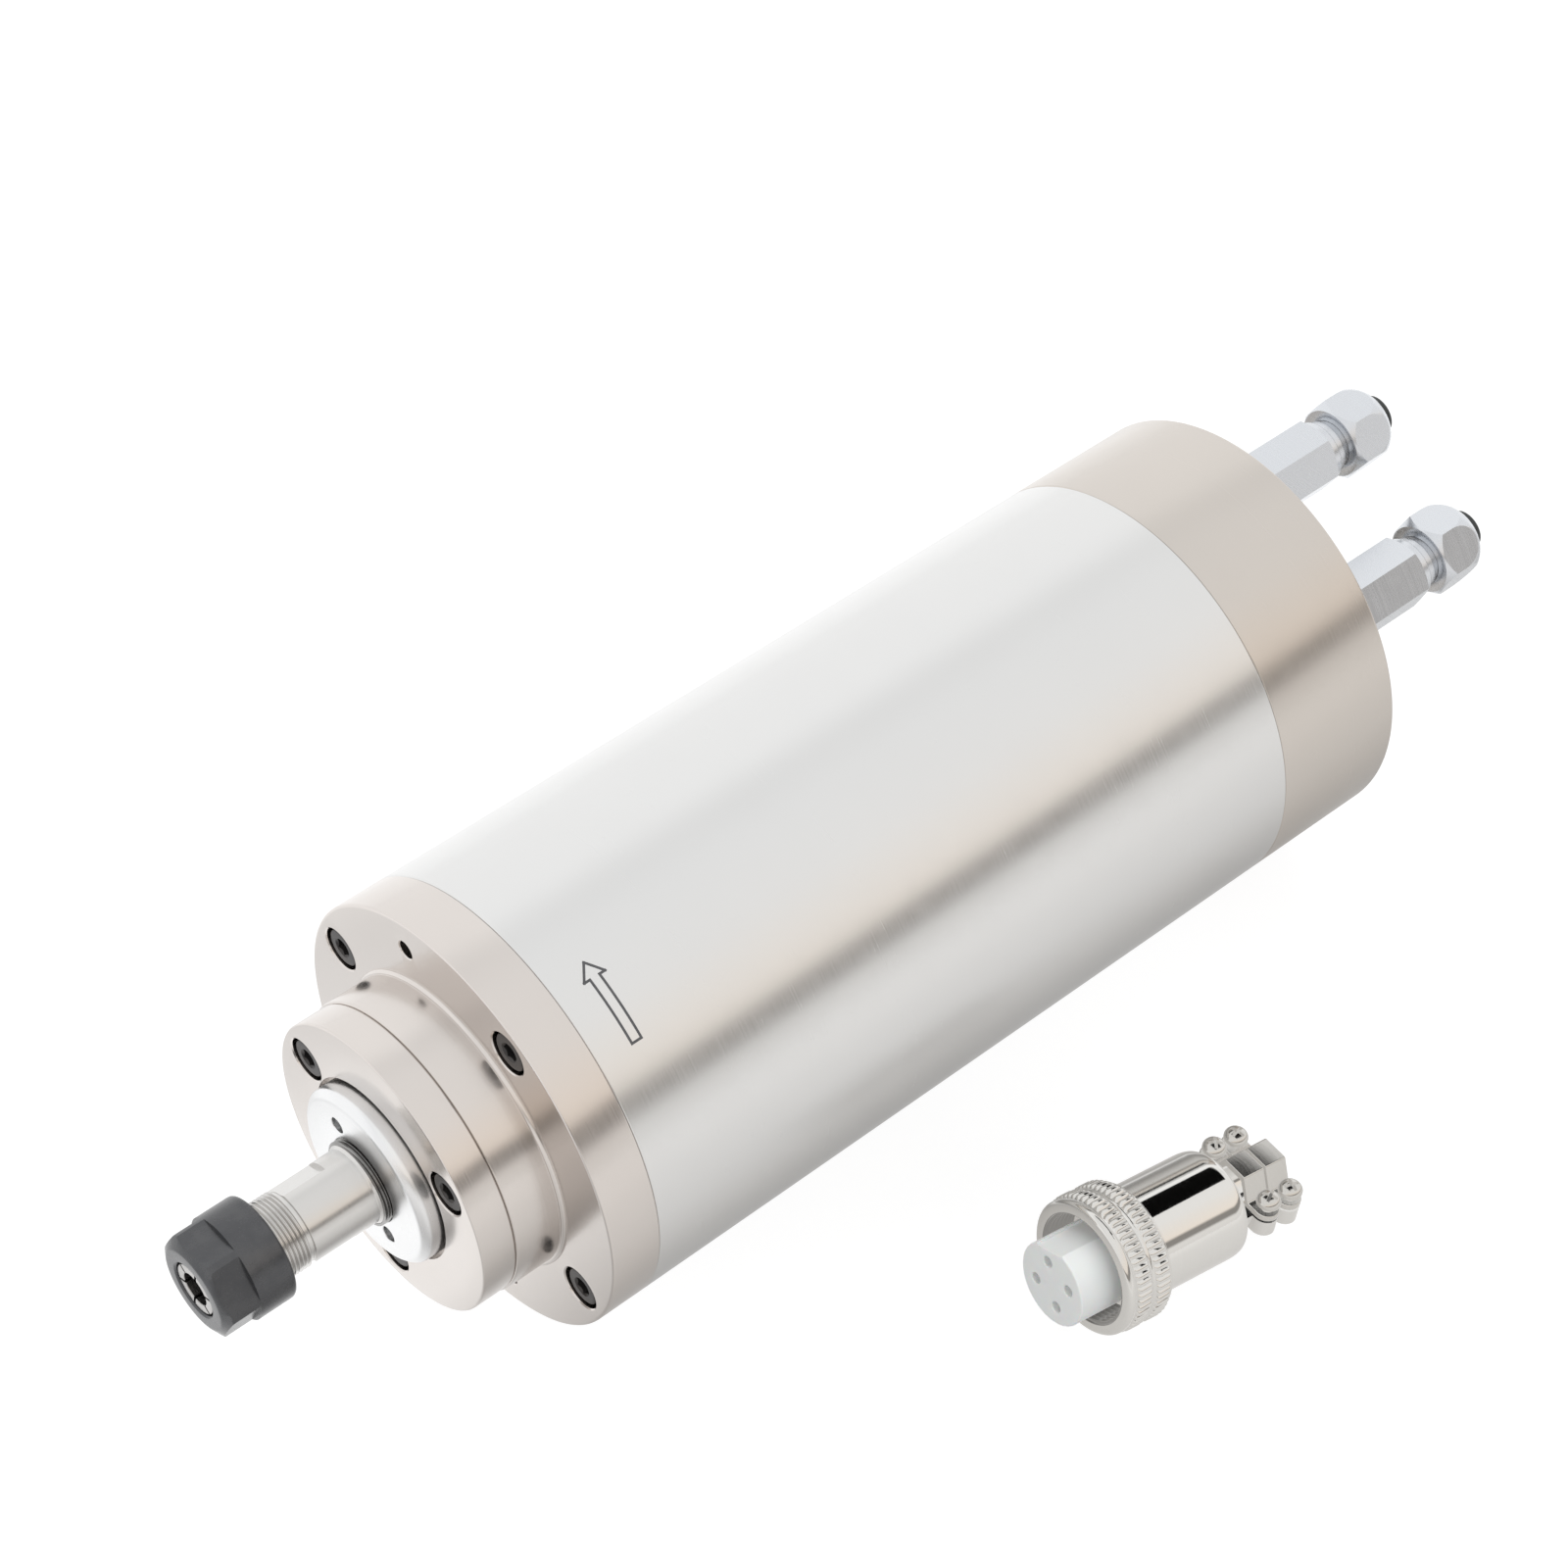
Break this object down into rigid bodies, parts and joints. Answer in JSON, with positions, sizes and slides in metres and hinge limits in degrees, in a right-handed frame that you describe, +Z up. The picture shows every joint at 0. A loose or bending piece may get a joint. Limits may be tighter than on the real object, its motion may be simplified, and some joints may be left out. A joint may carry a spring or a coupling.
{
  "type": "water-cooled motor spindle",
  "caption": "Cylindrical water-cooled high-speed motor spindle with a hex-nut collet chuck, two hose fittings at the back and a loose screw-ring power plug beside it.",
  "frame": {"origin": "on the spindle's axis, half-way along the barrel tube; the floor it lies on is half a barrel diameter below", "axes": "+X runs along the spindle from the collet nose to the hose fittings; +Z is up, away from the floor; +Y is to the side away from the loose plug"},
  "size_m": [0.2658, 0.1289, 0.08],
  "materials": {
    "barrel_steel": "turned and fine-ground stainless steel",
    "cap_steel": "fine-turned, warm nickel tone",
    "disc_aluminium": "fine-turned, bright",
    "jacket_aluminium": "machined",
    "shaft_steel": "ground",
    "black_oxide": "black oxide, satin",
    "collet_steel": "ground spring steel",
    "bearing_steel": "ground and polished",
    "cage_resin": "cloth-filled resin",
    "core_steel": "stacked electrical sheets",
    "rotor_aluminium": "die cast",
    "copper": "varnished copper wire",
    "rubber_black": "moulded",
    "fitting_chrome": "polished nickel plate, cool tone",
    "collar_black": "moulded, slight gloss",
    "connector_nickel": "polished nickel plate",
    "socket_plastic": "moulded",
    "contact_gold": "gold flashed",
    "insert_plastic": "moulded, pale grey"
  },
  "bodies": {
    "housing": {"front_cap": "cap_steel", "front_flange": "cap_steel", "barrel": "barrel_steel", "water_jacket": "jacket_aluminium", "rear_cap": "cap_steel", "rear_bearing_seat": "jacket_aluminium", "jacket_seals": "rubber_black", "front_cap_screws": "black_oxide", "flange_screws": "black_oxide", "rear_cap_screws": "black_oxide", "front_outer_rings": "bearing_steel", "outer_spacer": "shaft_steel", "stator_core": "core_steel", "windings": "copper", "rear_outer_ring": "bearing_steel", "wave_spring": "shaft_steel", "inlet_stud": "fitting_chrome", "inlet_seal": "rubber_black", "outlet_stud": "fitting_chrome", "outlet_seal": "rubber_black", "socket_shell": "connector_nickel", "socket_insert": "socket_plastic", "socket_pins": "contact_gold", "socket_nut": "connector_nickel"},
    "rotor": {"shaft": "shaft_steel", "dust_disc": "disc_aluminium", "front_inner_rings": "bearing_steel", "inner_spacer": "shaft_steel", "rotor_core": "core_steel", "rotor_end_rings": "rotor_aluminium", "rear_inner_ring": "bearing_steel", "lock_nut": "black_oxide"},
    "front_cage": {"front_cages": "cage_resin", "front_balls": "bearing_steel"},
    "rear_cage": {"rear_cage": "cage_resin", "rear_balls": "bearing_steel"},
    "collet": {"collet": "collet_steel"},
    "nut": {"collet_nut": "black_oxide"},
    "inlet_swivel": {"inlet_nut": "fitting_chrome"},
    "outlet_swivel": {"outlet_nut": "fitting_chrome"},
    "inlet_release": {"inlet_collar": "collar_black"},
    "outlet_release": {"outlet_collar": "collar_black"},
    "plug": {"plug_shell": "connector_nickel", "plug_insert": "insert_plastic", "plug_contacts": "contact_gold", "plug_straps": "connector_nickel", "plug_screws": "connector_nickel"},
    "plug_coupling": {"plug_ring": "connector_nickel"}
  },
  "joints": [
    {"name": "spindle_turn", "type": "hinge", "parent": "housing", "child": "rotor", "pos_m": [0, 0, 0], "axis": [-1, 0, 0], "continuous": true},
    {"name": "front_cage_turn", "type": "hinge", "parent": "housing", "child": "front_cage", "pos_m": [-0.0783, 0, 0], "axis": [-1, 0, 0], "continuous": true},
    {"name": "rear_cage_turn", "type": "hinge", "parent": "housing", "child": "rear_cage", "pos_m": [0.0692, 0, 0], "axis": [-1, 0, 0], "continuous": true},
    {"name": "collet_slide", "type": "slide", "parent": "rotor", "child": "collet", "axis": [-1, 0, 0], "range_m": [0, 0.0015]},
    {"name": "nut_turn", "type": "hinge", "parent": "collet", "child": "nut", "pos_m": [-0.1202, 0, 0], "axis": [-1, 0, 0], "range_deg": [0, 720]},
    {"name": "inlet_nut_turn", "type": "hinge", "parent": "housing", "child": "inlet_swivel", "pos_m": [0.1199, -0.00016, 0.03], "axis": [1, 0, 0], "continuous": true},
    {"name": "outlet_nut_turn", "type": "hinge", "parent": "housing", "child": "outlet_swivel", "pos_m": [0.1199, -0.02386, 0.01818], "axis": [1, 0, 0], "continuous": true},
    {"name": "inlet_collar_push", "type": "slide", "parent": "inlet_swivel", "child": "inlet_release", "axis": [-1, 0, 0], "range_m": [0, 0.0012], "stiffness_N_per_m": 400, "springref_m": -0.0005},
    {"name": "outlet_collar_push", "type": "slide", "parent": "outlet_swivel", "child": "outlet_release", "axis": [-1, 0, 0], "range_m": [0, 0.0012], "stiffness_N_per_m": 400, "springref_m": -0.0005},
    {"name": "plug_lift", "type": "slide", "parent": "housing", "child": "plug", "axis": [0, 0, 1], "range_m": [0, 0.1]},
    {"name": "plug_ring_turn", "type": "hinge", "parent": "plug", "child": "plug_coupling", "pos_m": [-0.0104, -0.0757, -0.0263], "axis": [0.9867, -0.0777, -0.143], "continuous": true}
  ],
  "couplings": [
    {"joint": "front_cage_turn", "follows": "spindle_turn", "ratio": 0.4085},
    {"joint": "rear_cage_turn", "follows": "spindle_turn", "ratio": 0.3987},
    {"joint": "nut_turn", "follows": "collet_slide", "rad_per_m": 8377.5}
  ]
}
